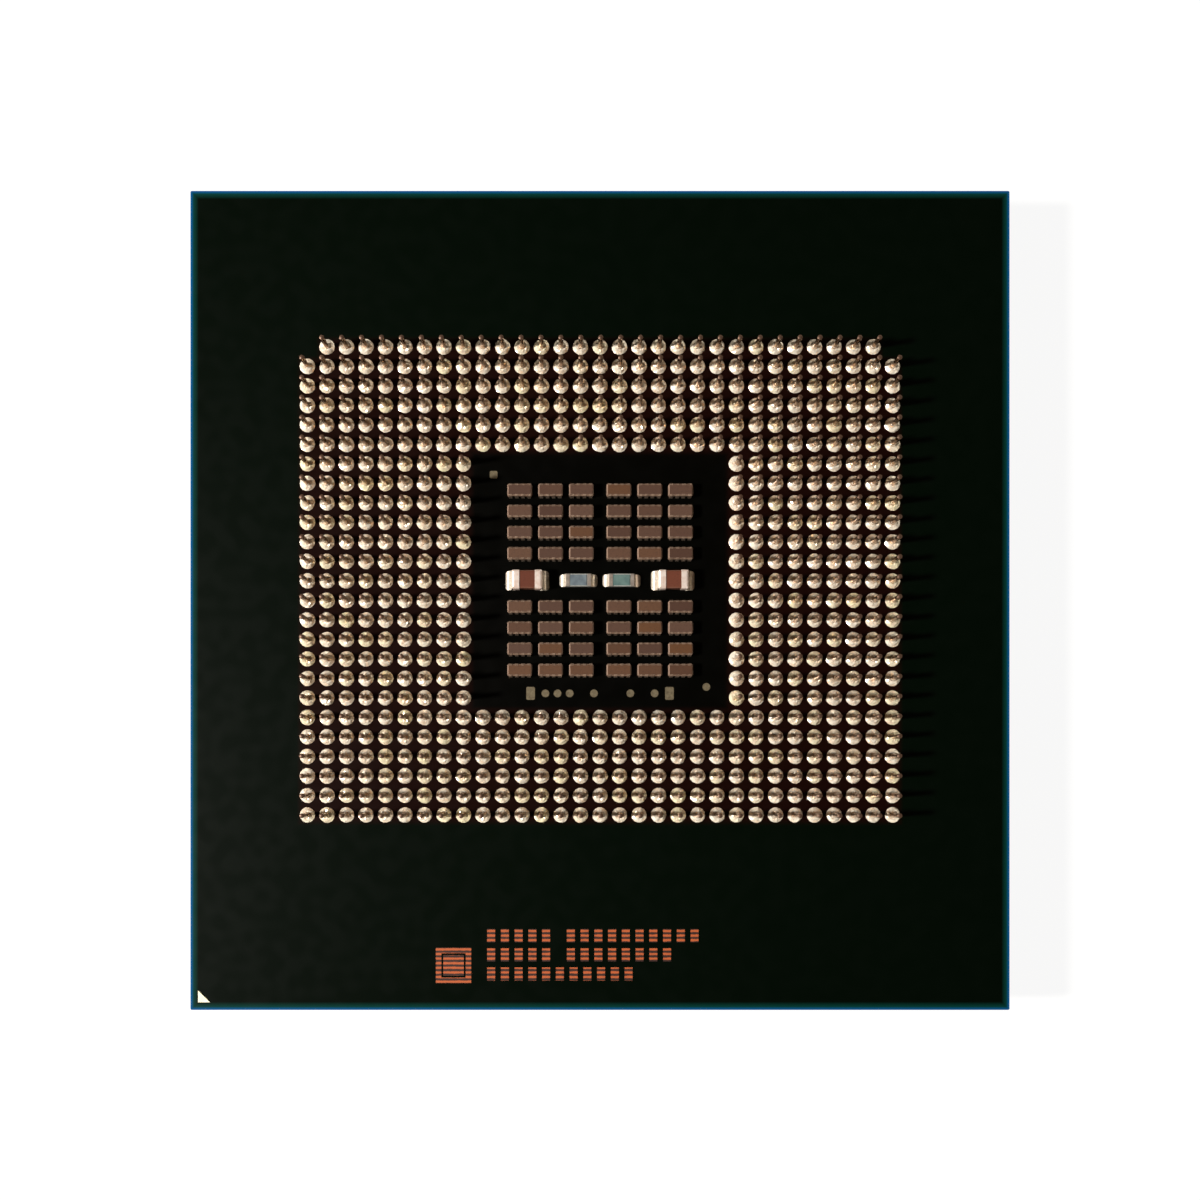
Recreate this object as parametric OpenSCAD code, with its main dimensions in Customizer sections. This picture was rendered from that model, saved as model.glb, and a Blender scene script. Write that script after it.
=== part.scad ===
// Pin-grid processor package, lying on its heat spreader with its pins up.
// Millimetres. +Z is up, z = 0 is the heat spreader's flat face, and x = y = 0 is the board's centre.

/* [Board] */
// Side of the square laminate board
board_side = 53.34; // [48:0.01:60]
// Thickness of the laminate board
board_t = 1.35; // [0.8:0.05:2]
// Radius of the board's corners
board_corner_r = 0.1; // [0.05:0.01:1]

/* [Pins] */
// Spacing of the pin grid, both ways
pin_pitch = 1.27; // [1.1:0.01:1.5]
// Columns of the pin grid
pin_columns = 31; // [29:2:33]
// Rows of the pin grid
pin_rows = 25; // [23:2:27]
// How far the grid's centre sits off the board's centre, along +Y
grid_offset = 1.27; // [0:0.01:2]
// Diameter of a pin's shaft
pin_d = 0.305; // [0.25:0.005:0.4]
// Length of a pin, from the board to its tip
pin_len = 2.03; // [1.5:0.01:3]
// Height of a pin's domed tip
tip_h = 0.05; // [0.03:0.01:0.12]
// Diameter of the nail head that a pin stands on
head_d = 0.62; // [0.5:0.01:0.72]
// Thickness of the nail head
head_t = 0.12; // [0.08:0.01:0.2]
// How much wider than the shaft its coned root is, on the radius
root_flare = 0.06; // [0.02:0.01:0.08]

/* [Pin solder] */
// Clear gap between two neighbouring solder joints
solder_gap = 0.25; // [0.15:0.01:0.35]
// Height of a joint's edge on its pad
solder_edge = 0.03; // [0.02:0.005:0.06]
// Solder over the middle of the nail head
head_cover = 0.11; // [0.1:0.01:0.25]
// Radius of the hollow in which the solder climbs the shaft
neck_r = 0.2; // [0.08:0.01:0.25]
// Width of the ring at the top of the climb
neck_lip = 0.015; // [0.01:0.005:0.03]

/* [Die] */
// Length of the silicon die, along X
die_x = 22.5; // [18:0.1:26]
// Width of the silicon die, along Y
die_y = 22.3; // [18:0.1:26]
// Thickness of the silicon die
die_t = 0.78; // [0.6:0.01:0.9]
// Height of the bumps and underfill between the die and the board
bump_h = 0.08; // [0.05:0.01:0.12]
// How far the underfill runs out past the die
underfill_out = 1.2; // [0.6:0.1:2]
// Share of the die's side that the underfill climbs
underfill_climb = 0.6; // [0.3:0.05:0.9]

/* [Heat spreader] */
// Thickness of the spreader over the die
spreader_top = 1.84; // [1.5:0.01:2.5]
// Metal layer between the die and the spreader
interface_t = 0.2; // [0.1:0.01:0.4]
// How far the metal layer stays back from the die's edge
interface_setback = 0.3; // [0.1:0.05:0.6]
// Clear space between the die and the cavity's wall
cavity_gap = 3.75; // [2.5:0.05:5]
// Width of the rim that is glued to the board
rim_w = 4.25; // [3:0.05:5.5]
// Height of the flange round the raised face
flange_h = 1.4; // [1.1:0.05:1.6]
// Width of the step between the flange and the raised face
step_w = 1.75; // [1:0.05:2.5]
// Radius of the flange's corners
flange_corner_r = 2.2; // [1:0.1:3]
// Radius of the cavity's corners
cavity_corner_r = 1.5; // [0.5:0.1:2.5]
// Chamfer round the raised face
face_chamfer = 0.3; // [0.1:0.05:0.5]
// Diameter of the vent hole
vent_d = 0.8; // [0.5:0.05:1.2]
// Thickness of the sealant bead
sealant_t = 0.15; // [0.1:0.01:0.25]
// How far the bead stays inside the rim's two edges
sealant_setback = 0.4; // [0.2:0.05:0.8]

/* [Array capacitors] */
// Length of one array capacitor's ceramic body, along X
array_len = 1.6; // [1.4:0.01:1.8]
// Width of the ceramic body, along Y
array_w = 0.78; // [0.7:0.01:0.95]
// Height of the ceramic body
array_h = 0.55; // [0.4:0.01:0.7]
// Chamfer round the ceramic body's edges
array_chamfer = 0.08; // [0.03:0.01:0.09]
// Capacitors in a row, each side of the middle aisle
array_columns = 3; // [2:1:3]
// Rows each side of the middle band
array_rows = 4; // [3:1:4]
// Clear gap between neighbours in a row
array_gap_x = 0.4; // [0.25:0.01:0.6]
// Clear gap between two rows
array_gap_y = 0.55; // [0.35:0.01:0.65]
// Width of the middle aisle
aisle = 0.83; // [0.5:0.01:1.2]
// Terminals on each long side of an array capacitor
terminal_count = 4; // [2:1:4]
// Width of one terminal
terminal_w = 0.22; // [0.15:0.01:0.3]
// Thickness of a terminal's metal
terminal_t = 0.02; // [0.01:0.005:0.04]
// How far a terminal wraps over the body's top and bottom
terminal_wrap = 0.1; // [0.1:0.01:0.2]
// How far a terminal's solder runs out on the board
terminal_solder_out = 0.05; // [0.03:0.01:0.15]
// How far a terminal's solder climbs its side
terminal_solder_up = 0.22; // [0.18:0.01:0.3]

/* [Bulk capacitors] */
// Length of a bulk capacitor over its end caps
bulk_len = 2.0; // [1.8:0.01:2.3]
// Width of a bulk capacitor over its end caps
bulk_w = 1.25; // [1:0.01:1.4]
// Height of a bulk capacitor over its end caps
bulk_h = 0.95; // [0.7:0.01:1.2]
// Length of each end cap
bulk_band = 0.5; // [0.35:0.01:0.7]
// Thickness of an end cap's metal
bulk_cap_t = 0.04; // [0.02:0.005:0.08]
// Radius of the end caps' rounded edges
bulk_round = 0.18; // [0.1:0.01:0.22]
// How far the solder runs out past an end cap
bulk_solder_out = 0.41; // [0.25:0.01:0.5]
// Clear space between the middle band's parts and the rows beside it
band_gap = 0.69; // [0.5:0.01:0.9]

/* [Chip resistors] */
// Length of a chip resistor over its terminals
resistor_len = 1.6; // [1.4:0.01:1.8]
// Width of a chip resistor
resistor_w = 0.8; // [0.7:0.01:0.95]
// Thickness of the alumina base
resistor_h = 0.4; // [0.3:0.01:0.5]
// Length of a terminal over the top and bottom of the base
resistor_tab = 0.22; // [0.15:0.01:0.4]
// Thickness of a terminal's metal
resistor_terminal_t = 0.04; // [0.02:0.005:0.06]
// Thickness of the glass coat between the terminals
coat_t = 0.05; // [0.03:0.005:0.08]
// How far the coat stays inside the terminals and the long edges
coat_setback = 0.04; // [0.02:0.005:0.08]
// Slope round the top of the coat, measured flat
coat_slope = 0.03; // [0.01:0.005:0.05]
// How far the solder runs out past a terminal
resistor_solder_out = 0.43; // [0.25:0.01:0.5]
// Clear gap between the solder of the two resistors
resistor_gap = 0.34; // [0.2:0.01:0.6]
// Clear gap between a resistor's solder and a bulk capacitor's
resistor_bulk_gap = 0.69; // [0.4:0.01:0.9]

/* [Chip solder] */
// Width of the lip where solder meets an end cap or a terminal
fillet_lip = 0.03; // [0.02:0.005:0.06]
// Height of the solder's edge on the board
fillet_edge = 0.05; // [0.03:0.005:0.08]
// Radius of the solder's outer corners, seen from above
fillet_corner_r = 0.2; // [0.1:0.01:0.3]

/* [Gold lands] */
// Thickness of the bare gold lands
land_t = 0.03; // [0.02:0.005:0.05]
// Diameter of a round land
land_d = 0.5; // [0.4:0.01:0.6]
// Clear gap between neighbouring round lands
land_space = 0.29; // [0.2:0.01:0.4]
// Short side of a rectangular land
land_bar_w = 0.56; // [0.4:0.01:0.7]
// Long side of a rectangular land
land_bar_len = 0.84; // [0.6:0.01:1]
// Corner radius of the lands that have corners
land_corner_r = 0.1; // [0.05:0.01:0.15]
// Clear space between the parts and the lands beside them
land_margin = 0.66; // [0.5:0.01:0.8]
// Space for lands between the parts and the pins
land_strip = 1.9; // [1.8:0.01:2.1]
// Leg of the triangle that marks pin one
mark_leg = 0.77; // [0.5:0.01:1]
// How far the mark stays inside the board's edges
mark_inset = 0.5; // [0.3:0.01:0.8]

/* [Hidden] */
$fn = 48;

// Heights, from the spreader's face up
spreader_h = spreader_top + interface_t + die_t + bump_h - sealant_t;
board_z = spreader_h + sealant_t;
face_z = board_z + board_t;
die_z = board_z - bump_h - die_t;

// Spreader, worked outwards from the die
cavity_x = die_x + 2 * cavity_gap;
cavity_y = die_y + 2 * cavity_gap;
spreader_x = cavity_x + 2 * rim_w;
spreader_y = cavity_y + 2 * rim_w;
platform_h = spreader_h - flange_h;

// Pins and their solder
pin_r = pin_d / 2;
head_r = head_d / 2;
root_r = pin_r + root_flare;
solder_r = (pin_pitch - solder_gap) / 2;
tip_r = (pow(pin_r, 2) + pow(tip_h, 2)) / (2 * tip_h);
dome_h = head_t + head_cover;
dome_rise = dome_h - solder_edge;
dome_r = (pow(solder_r, 2) + pow(dome_rise, 2)) / (2 * dome_rise);
// The neck's hollow meets the dome smoothly, so their two middles lie the sum of their radii apart
neck_x = pin_r + neck_lip + neck_r;
solder_top = dome_h - dome_r + sqrt(pow(dome_r + neck_r, 2) - pow(neck_x, 2));
neck_foot = neck_x * dome_r / (dome_r + neck_r);

// Parts in the well, worked outwards from its middle
array_reach = array_w + 2 * terminal_t;
terminal_pitch = array_len / terminal_count;
terminal_chamfer = array_chamfer + (2 - sqrt(2)) * terminal_t;
band_half = bulk_w / 2 + band_gap;
array_half_x = aisle / 2 + array_columns * array_len + (array_columns - 1) * array_gap_x;
array_half_y = band_half + array_rows * array_reach + (array_rows - 1) * array_gap_y;
resistor_span = resistor_len + 2 * resistor_solder_out;
bulk_span = bulk_len + 2 * bulk_solder_out;
resistor_x = (resistor_gap + resistor_span) / 2;
bulk_x = resistor_x + resistor_span / 2 + resistor_bulk_gap + bulk_span / 2;
parts_half_x = max(array_half_x, bulk_x + bulk_span / 2);

// Pin positions nearer the grid's centre than this, both ways, are left out
well_half_x = parts_half_x + land_strip;
well_half_y = array_half_y + land_strip;

// Lands round the parts
land_step = land_d + land_space;
land_row_y = array_half_y + land_margin + land_bar_len / 2;
land_bar_x = 5 * land_step + land_space + land_bar_w / 2;
land_side_x = array_half_x + land_margin + land_d / 2;
// Places of the round lands in their row, in steps from its middle
land_places = [-4.5, -3.5, -2.5, -0.5, 2.5, 4.5];

SIDES = ["left", "right"];
BANKS = ["north", "south", "east", "west"];
ROWS = [1 : 2 * array_rows];

NODES = concat(
    ["substrate", "heat_spreader", "spreader_sealant"],
    ["processor_die", "thermal_interface", "die_underfill"],
    [for (bank = BANKS) str("pins_", bank)],
    [for (bank = BANKS) str("pin_solder_", bank)],
    [for (row = ROWS) str("capacitor_bodies_row_", row)],
    [for (row = ROWS) str("capacitor_terminals_row_", row)],
    [for (row = ROWS) str("capacitor_solder_row_", row)],
    [for (side = SIDES) str("bulk_capacitor_body_", side)],
    [for (side = SIDES) str("bulk_capacitor_end_caps_", side)],
    [for (side = SIDES) str("resistor_base_", side)],
    [for (side = SIDES) str("resistor_coat_", side)],
    [for (side = SIDES) str("resistor_terminals_", side)],
    ["bulk_capacitor_solder", "resistor_solder", "test_lands", "pin_one_mark"]
);
node = "all";

// Shapes that several parts share

module rounded_rect(w, d, r) {
    square([w - 2 * r, d], center = true);
    square([w, d - 2 * r], center = true);
    for (sx = [-1, 1], sy = [-1, 1])
        translate([sx * (w / 2 - r), sy * (d / 2 - r)]) circle(r);
}

module chamfered_rect(w, h, c) {
    polygon([
        [-w / 2 + c, -h / 2], [w / 2 - c, -h / 2], [w / 2, -h / 2 + c], [w / 2, h / 2 - c],
        [w / 2 - c, h / 2], [-w / 2 + c, h / 2], [-w / 2, h / 2 - c], [-w / 2, -h / 2 + c]
    ]);
}

// Lays a flat shape in the YZ plane and extrudes it along X, centred
module along_x(length) {
    rotate([90, 0, 90]) linear_extrude(length, center = true) children();
}

// Lays a flat shape in the XZ plane and extrudes it along Y, centred
module along_y(length) {
    rotate([90, 0, 0]) linear_extrude(length, center = true) children();
}

// A block with every edge chamfered, centred
module chamfered_block(size, c) {
    intersection() {
        along_x(size.x) chamfered_rect(size.y, size.z, c);
        along_y(size.y) chamfered_rect(size.x, size.z, c);
        linear_extrude(size.z, center = true) chamfered_rect(size.x, size.y, c);
    }
}

// A block with every edge rounded, centred
module rounded_block(size, r) {
    intersection() {
        along_x(size.x) rounded_rect(size.y, size.z, r);
        along_y(size.y) rounded_rect(size.x, size.z, r);
        linear_extrude(size.z, center = true) rounded_rect(size.x, size.y, r);
    }
}

// Puts a part drawn on z = 0 on the board's pin side, at a place measured from the grid's centre
module on_board(x, y) {
    translate([x, y + grid_offset, face_z]) children();
}

// Board, die and heat spreader

module substrate() {
    color("#16231c") translate([0, 0, board_z])
        linear_extrude(board_t) rounded_rect(board_side, board_side, board_corner_r);
}

module heat_spreader() {
    platform_x = spreader_x - 2 * step_w;
    platform_y = spreader_y - 2 * step_w;
    vent_x = (die_x + cavity_gap) / 2;
    vent_y = (die_y + cavity_gap) / 2;
    color("#b9bab6") difference() {
        union() {
            intersection() {
                linear_extrude(platform_h) rounded_rect(platform_x, platform_y, flange_corner_r);
                along_x(platform_x) face_profile(platform_y);
                along_y(platform_y) face_profile(platform_x);
            }
            translate([0, 0, platform_h])
                linear_extrude(flange_h) rounded_rect(spreader_x, spreader_y, flange_corner_r);
        }
        translate([0, 0, spreader_top])
            linear_extrude(spreader_h) rounded_rect(cavity_x, cavity_y, cavity_corner_r);
        translate([-vent_x, -vent_y, -spreader_h]) cylinder(d = vent_d, h = 3 * spreader_h);
    }
}

// Section of the raised face, with the chamfer at its foot where it lies on z = 0
module face_profile(width) {
    polygon([
        [-width / 2 + face_chamfer, 0], [width / 2 - face_chamfer, 0], [width / 2, face_chamfer],
        [width / 2, platform_h], [-width / 2, platform_h], [-width / 2, face_chamfer]
    ]);
}

module spreader_sealant() {
    color("#2b2b2d") translate([0, 0, spreader_h]) linear_extrude(sealant_t) difference() {
        rounded_rect(spreader_x - 2 * sealant_setback, spreader_y - 2 * sealant_setback, flange_corner_r);
        rounded_rect(cavity_x + 2 * sealant_setback, cavity_y + 2 * sealant_setback, cavity_corner_r);
    }
}

module die_block() {
    translate([-die_x / 2, -die_y / 2, die_z]) cube([die_x, die_y, die_t]);
}

module processor_die() {
    color("#5d6066") die_block();
}

module thermal_interface() {
    color("#a9abad") translate([0, 0, die_z - interface_t]) linear_extrude(interface_t)
        square([die_x - 2 * interface_setback, die_y - 2 * interface_setback], center = true);
}

// Bump layer under the die, with the resin's slope climbing the die's four sides
module die_underfill() {
    climb = underfill_climb * die_t;
    color("#8c7a55") difference() {
        intersection() {
            along_x(die_x + 2 * underfill_out) underfill_profile(die_y, climb);
            along_y(die_y + 2 * underfill_out) underfill_profile(die_x, climb);
        }
        die_block();
    }
}

module underfill_profile(die_w, climb) {
    out = die_w / 2 + underfill_out;
    polygon([
        [-out, board_z], [-die_w / 2, die_z + die_t - climb],
        [die_w / 2, die_z + die_t - climb], [out, board_z]
    ]);
}

// Pin grid: each pin stands on a nail head, and a solder joint holds the head to the board

function grid_x(column) = (column - (pin_columns - 1) / 2) * pin_pitch;
function grid_y(row) = (row - (pin_rows - 1) / 2) * pin_pitch;

// The grid's two far corners have no pin, so that the package goes in only one way round
function is_key(column, row) = row == pin_rows - 1 && (column == 0 || column == pin_columns - 1);

function bank_of(x, y) =
    y >= well_half_y ? "north" :
    y <= -well_half_y ? "south" :
    x >= well_half_x ? "east" :
    x <= -well_half_x ? "west" : "well";

function bank_sites(bank) = [
    for (row = [0 : pin_rows - 1], column = [0 : pin_columns - 1])
        if (!is_key(column, row) && bank_of(grid_x(column), grid_y(row)) == bank)
            [grid_x(column), grid_y(row)]
];

// Half section of a pin: nail head, coned root, straight shaft and domed tip
module pin_profile() {
    polygon([
        [0, 0], [head_r, 0], [head_r, head_t], [root_r, head_t], [pin_r, solder_top],
        [pin_r, pin_len - tip_h], [0, pin_len - tip_h]
    ]);
    intersection() {
        translate([0, pin_len - tip_r]) circle(tip_r);
        translate([0, pin_len - tip_h]) square([pin_r, tip_h]);
    }
}

// Half section of a solder joint: a low dome over the nail head that climbs the shaft
module solder_profile() {
    difference() {
        union() {
            intersection() {
                translate([0, dome_h - dome_r]) circle(dome_r);
                square([solder_r, dome_h]);
            }
            difference() {
                square([neck_foot, solder_top]);
                translate([neck_x, solder_top]) circle(neck_r);
            }
        }
        pin_profile();
    }
}

module pins(bank) {
    color("#c9a35a") for (site = bank_sites(bank))
        on_board(site.x, site.y) rotate_extrude() pin_profile();
}

module pin_solder(bank) {
    color("#d8cdb8") for (site = bank_sites(bank))
        on_board(site.x, site.y) rotate_extrude() solder_profile();
}

// Array capacitors: rows of small ceramic blocks with terminals down both long sides

// Middle of a row. Rows count from the top, and the middle band parts the two halves
function array_row_y(row) =
    let (above = row <= array_rows, step = above ? array_rows - row : row - array_rows - 1)
    (above ? 1 : -1) * (band_half + array_reach / 2 + step * (array_reach + array_gap_y));

function array_column_xs() = [
    for (side = [-1, 1], step = [0 : array_columns - 1])
        side * (aisle / 2 + array_len / 2 + step * (array_len + array_gap_x))
];

module array_row(row) {
    for (x = array_column_xs()) on_board(x, array_row_y(row)) children();
}

// Repeats a shape at every terminal of a capacitor, on both of its long sides
module at_terminals() {
    for (side = [0, 1], place = [0 : terminal_count - 1]) mirror([0, side, 0])
        translate([(place - (terminal_count - 1) / 2) * terminal_pitch, 0, 0]) children();
}

// Section of a terminal that wraps a long side, with the body's middle at y = 0
module terminal_profile() {
    intersection() {
        difference() {
            translate([0, terminal_t + array_h / 2])
                chamfered_rect(array_reach, array_h + 2 * terminal_t, terminal_chamfer);
            translate([0, terminal_t + array_h / 2]) chamfered_rect(array_w, array_h, array_chamfer);
        }
        translate([array_w / 2 - terminal_wrap, 0]) square([array_reach, array_h + 2 * terminal_t]);
    }
}

module capacitor_bodies(row) {
    color("#6e4f3f") array_row(row) translate([0, 0, terminal_t + array_h / 2])
        chamfered_block([array_len, array_w, array_h], array_chamfer);
}

module capacitor_terminals(row) {
    color("#b9a892") array_row(row) at_terminals() along_x(terminal_w) terminal_profile();
}

module capacitor_solder(row) {
    color("#cfc7ba") array_row(row) at_terminals() along_x(terminal_w)
        translate([array_reach / 2, 0]) polygon([
            [-terminal_chamfer, 0], [terminal_solder_out, 0],
            [0, terminal_solder_up], [0, terminal_chamfer]
        ]);
}

// Middle band: two bulk capacitors and two chip resistors, with solder at both ends

function side_sign(side) = side == "left" ? -1 : 1;

// Solder at the right-hand end of a chip: it runs out along X, and fills in under the chip's rounded end
module end_fillet(out, width, round) {
    hollow_r = out - fillet_lip;
    height = hollow_r + fillet_edge;
    intersection() {
        along_y(width) {
            difference() {
                square([out, height]);
                translate([out, height]) circle(hollow_r);
            }
            if (round > 0) difference() {
                translate([-round, 0]) square(round);
                translate([-round, round]) circle(round);
            }
        }
        linear_extrude(height) rounded_rect(2 * out, width, fillet_corner_r);
    }
}

module both_ends(length) {
    for (turn = [0, 180]) rotate([0, 0, turn]) translate([length / 2, 0, 0]) children();
}

module bulk_body_block() {
    inset = 2 * bulk_cap_t;
    translate([0, 0, bulk_h / 2])
        rounded_block([bulk_len - inset, bulk_w - inset, bulk_h - inset], bulk_round - bulk_cap_t);
}

module bulk_capacitor_body(side) {
    color("#6b3a2a") on_board(side_sign(side) * bulk_x, 0) bulk_body_block();
}

module bulk_capacitor_end_caps(side) {
    color("#e2d3c4") on_board(side_sign(side) * bulk_x, 0) difference() {
        intersection() {
            translate([0, 0, bulk_h / 2]) rounded_block([bulk_len, bulk_w, bulk_h], bulk_round);
            both_ends(bulk_len) translate([-bulk_band, -bulk_w, -bulk_h])
                cube([bulk_band + bulk_w, 2 * bulk_w, 3 * bulk_h]);
        }
        bulk_body_block();
    }
}

module bulk_capacitor_solder() {
    color("#e6dccb") for (side = SIDES) on_board(side_sign(side) * bulk_x, 0)
        both_ends(bulk_len) end_fillet(bulk_solder_out, bulk_w, bulk_round);
}

module resistor_base(side) {
    size = [resistor_len - 2 * resistor_terminal_t, resistor_w, resistor_h];
    color("#e9e6df") on_board(side_sign(side) * resistor_x, 0)
        translate([-size.x / 2, -size.y / 2, resistor_terminal_t]) cube(size);
}

module resistor_coat(side) {
    coat_len = resistor_len - 2 * resistor_tab - 2 * coat_setback;
    coat_w = resistor_w - 2 * coat_setback;
    color("#8a979d") on_board(side_sign(side) * resistor_x, 0)
        translate([0, 0, resistor_terminal_t + resistor_h]) intersection() {
            along_x(coat_len) coat_profile(coat_w);
            along_y(coat_w) coat_profile(coat_len);
        }
}

module coat_profile(width) {
    polygon([
        [-width / 2, 0], [width / 2, 0],
        [width / 2 - coat_slope, coat_t], [-width / 2 + coat_slope, coat_t]
    ]);
}

module resistor_terminals(side) {
    height = resistor_h + 2 * resistor_terminal_t;
    color("#d9d2c8") on_board(side_sign(side) * resistor_x, 0) both_ends(resistor_len)
        along_y(resistor_w) difference() {
            translate([-resistor_tab, 0]) square([resistor_tab, height]);
            translate([-resistor_tab - resistor_terminal_t, resistor_terminal_t])
                square([resistor_tab, resistor_h]);
        }
}

module resistor_solder() {
    color("#e6dccb") for (side = SIDES) on_board(side_sign(side) * resistor_x, 0)
        both_ends(resistor_len) end_fillet(resistor_solder_out, resistor_w, 0);
}

// Bare gold on the board's face

module test_lands() {
    color("#d3ad58") {
        for (place = land_places) on_board(place * land_step, -land_row_y)
            linear_extrude(land_t) circle(d = land_d);
        on_board(land_side_x, -array_half_y - land_margin) linear_extrude(land_t) circle(d = land_d);
        for (side = [-1, 1]) on_board(side * land_bar_x, -land_row_y) linear_extrude(land_t)
            rounded_rect(land_bar_w, land_bar_len, land_corner_r);
        on_board(-land_side_x, array_half_y + land_margin) linear_extrude(land_t)
            rounded_rect(land_d, land_d, land_corner_r);
    }
}

module pin_one_mark() {
    corner = board_side / 2 - mark_inset;
    color("#d3ad58") translate([-corner, -corner, face_z]) linear_extrude(land_t)
        polygon([[0, 0], [mark_leg, 0], [0, mark_leg]]);
}

function shown(name) = node == "all" || node == name;

if (shown("substrate")) substrate();
if (shown("heat_spreader")) heat_spreader();
if (shown("spreader_sealant")) spreader_sealant();
if (shown("processor_die")) processor_die();
if (shown("thermal_interface")) thermal_interface();
if (shown("die_underfill")) die_underfill();
for (bank = BANKS) {
    if (shown(str("pins_", bank))) pins(bank);
    if (shown(str("pin_solder_", bank))) pin_solder(bank);
}
for (row = ROWS) {
    if (shown(str("capacitor_bodies_row_", row))) capacitor_bodies(row);
    if (shown(str("capacitor_terminals_row_", row))) capacitor_terminals(row);
    if (shown(str("capacitor_solder_row_", row))) capacitor_solder(row);
}
for (side = SIDES) {
    if (shown(str("bulk_capacitor_body_", side))) bulk_capacitor_body(side);
    if (shown(str("bulk_capacitor_end_caps_", side))) bulk_capacitor_end_caps(side);
    if (shown(str("resistor_base_", side))) resistor_base(side);
    if (shown(str("resistor_coat_", side))) resistor_coat(side);
    if (shown(str("resistor_terminals_", side))) resistor_terminals(side);
}
if (shown("bulk_capacitor_solder")) bulk_capacitor_solder();
if (shown("resistor_solder")) resistor_solder();
if (shown("test_lands")) test_lands();
if (shown("pin_one_mark")) pin_one_mark();
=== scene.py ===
"""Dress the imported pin-grid processor package for its picture from the pin side.

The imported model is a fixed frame. Its pin joints are replaced by joints that froze one by one, plain
marks are burnt into the board, and every other node keeps its shape and gets the finish of its real
material. Sizes are written in millimetres, and the frame is in metres.
"""

from __future__ import annotations

import logging
import math
import random
from collections.abc import Iterator, Mapping
from dataclasses import dataclass
from enum import Enum

import bmesh
import bpy
from mathutils import Matrix, Vector


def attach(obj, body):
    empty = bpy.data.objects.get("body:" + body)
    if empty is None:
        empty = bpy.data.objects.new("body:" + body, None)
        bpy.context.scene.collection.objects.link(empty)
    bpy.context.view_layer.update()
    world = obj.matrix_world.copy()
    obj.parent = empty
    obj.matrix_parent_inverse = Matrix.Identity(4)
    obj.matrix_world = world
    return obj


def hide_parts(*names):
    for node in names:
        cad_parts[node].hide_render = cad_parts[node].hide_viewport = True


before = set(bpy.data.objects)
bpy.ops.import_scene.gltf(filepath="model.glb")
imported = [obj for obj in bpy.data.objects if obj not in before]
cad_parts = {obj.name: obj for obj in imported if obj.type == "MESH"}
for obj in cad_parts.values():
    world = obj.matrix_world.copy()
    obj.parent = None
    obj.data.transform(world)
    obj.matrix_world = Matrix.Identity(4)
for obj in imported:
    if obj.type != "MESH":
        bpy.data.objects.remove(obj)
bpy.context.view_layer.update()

LOG = logging.getLogger("processor_package")
MM = 0.001

Point = tuple[float, float]
Colour = tuple[float, float, float, float]
Tree = bpy.types.NodeTree
Node = bpy.types.Node
Socket = bpy.types.NodeSocket

WHITE: Colour = (1.0, 1.0, 1.0, 1.0)


class Bank(Enum):
    """The four banks of pins round the well."""

    NORTH = "north"
    SOUTH = "south"
    EAST = "east"
    WEST = "west"


class Side(Enum):
    """The two halves of the middle band."""

    LEFT = "left"
    RIGHT = "right"


@dataclass(frozen=True)
class Grid:
    """The pin grid on the board's face, whose sizes several pieces share.

    Attributes:
        pitch: Spacing of the grid.
        columns: Columns of the grid.
        rows: Rows of the grid.
        well: Places left out of the middle, each way.
        offset: How far the grid's middle is above the board's.
        face: Height of the board's face.
    """

    pitch: float = 1.27
    columns: int = 31
    rows: int = 25
    well: int = 13
    offset: float = 1.27
    face: float = 4.25


GRID = Grid()


def linear(code: str) -> Colour:
    """Turn an sRGB hex value into a linear colour.

    Args:
        code: The colour as a hash and six hex digits.

    Returns:
        Red, green, blue and full alpha.
    """
    parts = [int(code[i : i + 2], 16) / 255 for i in (1, 3, 5)]
    red, green, blue = (c / 12.92 if c <= 0.04045 else ((c + 0.055) / 1.055) ** 2.4 for c in parts)
    return (red, green, blue, 1.0)


def per_mm(width: float) -> float:
    """Return the texture scale, on coordinates in metres, whose features are width millimetres across."""
    return 1.0 / (width * MM)


def add_node(
    tree: Tree, kind: str, inputs: Mapping[str | int, object] | None = None, **settings: object
) -> Node:
    """Add a node with its settings, socket values and links.

    Args:
        tree: The node tree that takes the node.
        kind: Blender's name of the node type.
        inputs: A value or an output socket for each named or numbered input.
        **settings: Attributes of the node.

    Returns:
        The new node.
    """
    made = tree.nodes.new(kind)
    for key, value in settings.items():
        setattr(made, key, value)
    for key, value in (inputs or {}).items():
        if isinstance(value, Socket):
            tree.links.new(value, made.inputs[key])
        else:
            made.inputs[key].default_value = value
    return made


def tinted(tree: Tree, share: Socket, low: object, high: object) -> Socket:
    """Go from one colour to another along a mask that is pulled to 0 and 1.

    Args:
        tree: The material's node tree.
        share: The mask.
        low: Colour or socket at 0.
        high: Colour or socket at 1.

    Returns:
        The colour's socket.
    """
    held = add_node(tree, "ShaderNodeClamp", {0: share})
    mixed = {0: held.outputs[0], 6: low, 7: high}
    return add_node(tree, "ShaderNodeMix", mixed, data_type="RGBA").outputs[2]


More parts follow.
